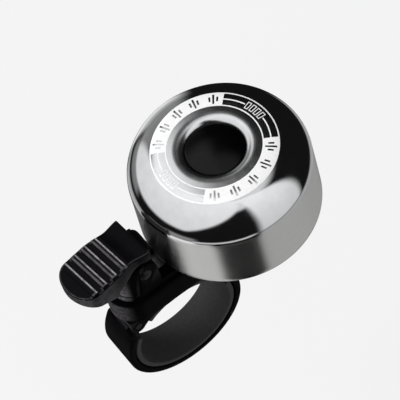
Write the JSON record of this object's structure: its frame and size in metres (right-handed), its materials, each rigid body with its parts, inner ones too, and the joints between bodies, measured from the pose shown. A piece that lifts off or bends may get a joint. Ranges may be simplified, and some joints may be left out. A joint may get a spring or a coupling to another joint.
{
  "type": "bicycle bell",
  "caption": "Handlebar bell: a chromed dome on a post, a sprung thumb lever that swings a hammer inside it, and a strap clamp for a round bar.",
  "frame": {"origin": "centre of the clamp's bore, on the handlebar's axis, midway across the clamp's width", "axes": "+X along the handlebar, -Y towards the rider and the thumb lever, +Z along the bell's axis, up"},
  "size_m": [0.042, 0.0645, 0.0637],
  "materials": {
    "chromed_dome": "polished top, finely brushed skirt",
    "gloss_cap": "gloss black",
    "black_plastic": "satin black moulded plastic",
    "lever_plastic": "satin black moulded plastic with polished ribs",
    "soft_rubber": "matt black rubber",
    "black_steel": "blackened steel",
    "zinc_steel": "zinc plated",
    "spring_steel": "drawn spring steel",
    "plain_brass": "turned brass",
    "white_ink": "printed white"
  },
  "bodies": {
    "base": {"base_body": "black_plastic", "bell_dome": "chromed_dome", "centre_cap": "gloss_cap", "dome_screw": "zinc_steel", "spring_washer": "zinc_steel", "flat_washer": "zinc_steel", "dome_isolator": "soft_rubber", "threaded_insert": "plain_brass", "pivot_pin": "black_steel", "pivot_clip": "spring_steel", "torsion_spring": "spring_steel", "clamp_nut": "zinc_steel", "bar_pad_upper": "soft_rubber", "strap_hinge_pin": "zinc_steel"},
    "lever": {"thumb_lever": "lever_plastic", "lever_bush": "plain_brass", "arm_rivet": "zinc_steel"},
    "hammer": {"hammer_arm": "spring_steel", "hammer_head": "plain_brass"},
    "strap": {"clamp_strap": "black_plastic", "bar_pad_lower": "soft_rubber", "clamp_washer": "zinc_steel"},
    "screw": {"clamp_screw": "zinc_steel"}
  },
  "joints": [
    {"name": "lever_press", "type": "hinge", "parent": "base", "child": "lever", "pos_m": [0, -0.005, 0.0295], "axis": [1, 0, 0], "range_deg": [0, 12], "stiffness_Nm_per_rad": 0.15, "springref_deg": -17.19, "deforming": ["torsion_spring"]},
    {"name": "hammer_flex", "type": "hinge", "parent": "lever", "child": "hammer", "pos_m": [0, -0.0042, 0.0246], "axis": [1, 0, 0], "range_deg": [-3, 3], "stiffness_Nm_per_rad": 0.12},
    {"name": "strap_hinge", "type": "hinge", "parent": "base", "child": "strap", "pos_m": [0, -0.0109, 0.0121], "axis": [1, 0, 0], "range_deg": [-4, 0]},
    {"name": "screw_turn", "type": "hinge", "parent": "strap", "child": "screw", "pos_m": [0, 0.0202, 0.003], "axis": [0, 0, 1], "continuous": true}
  ]
}
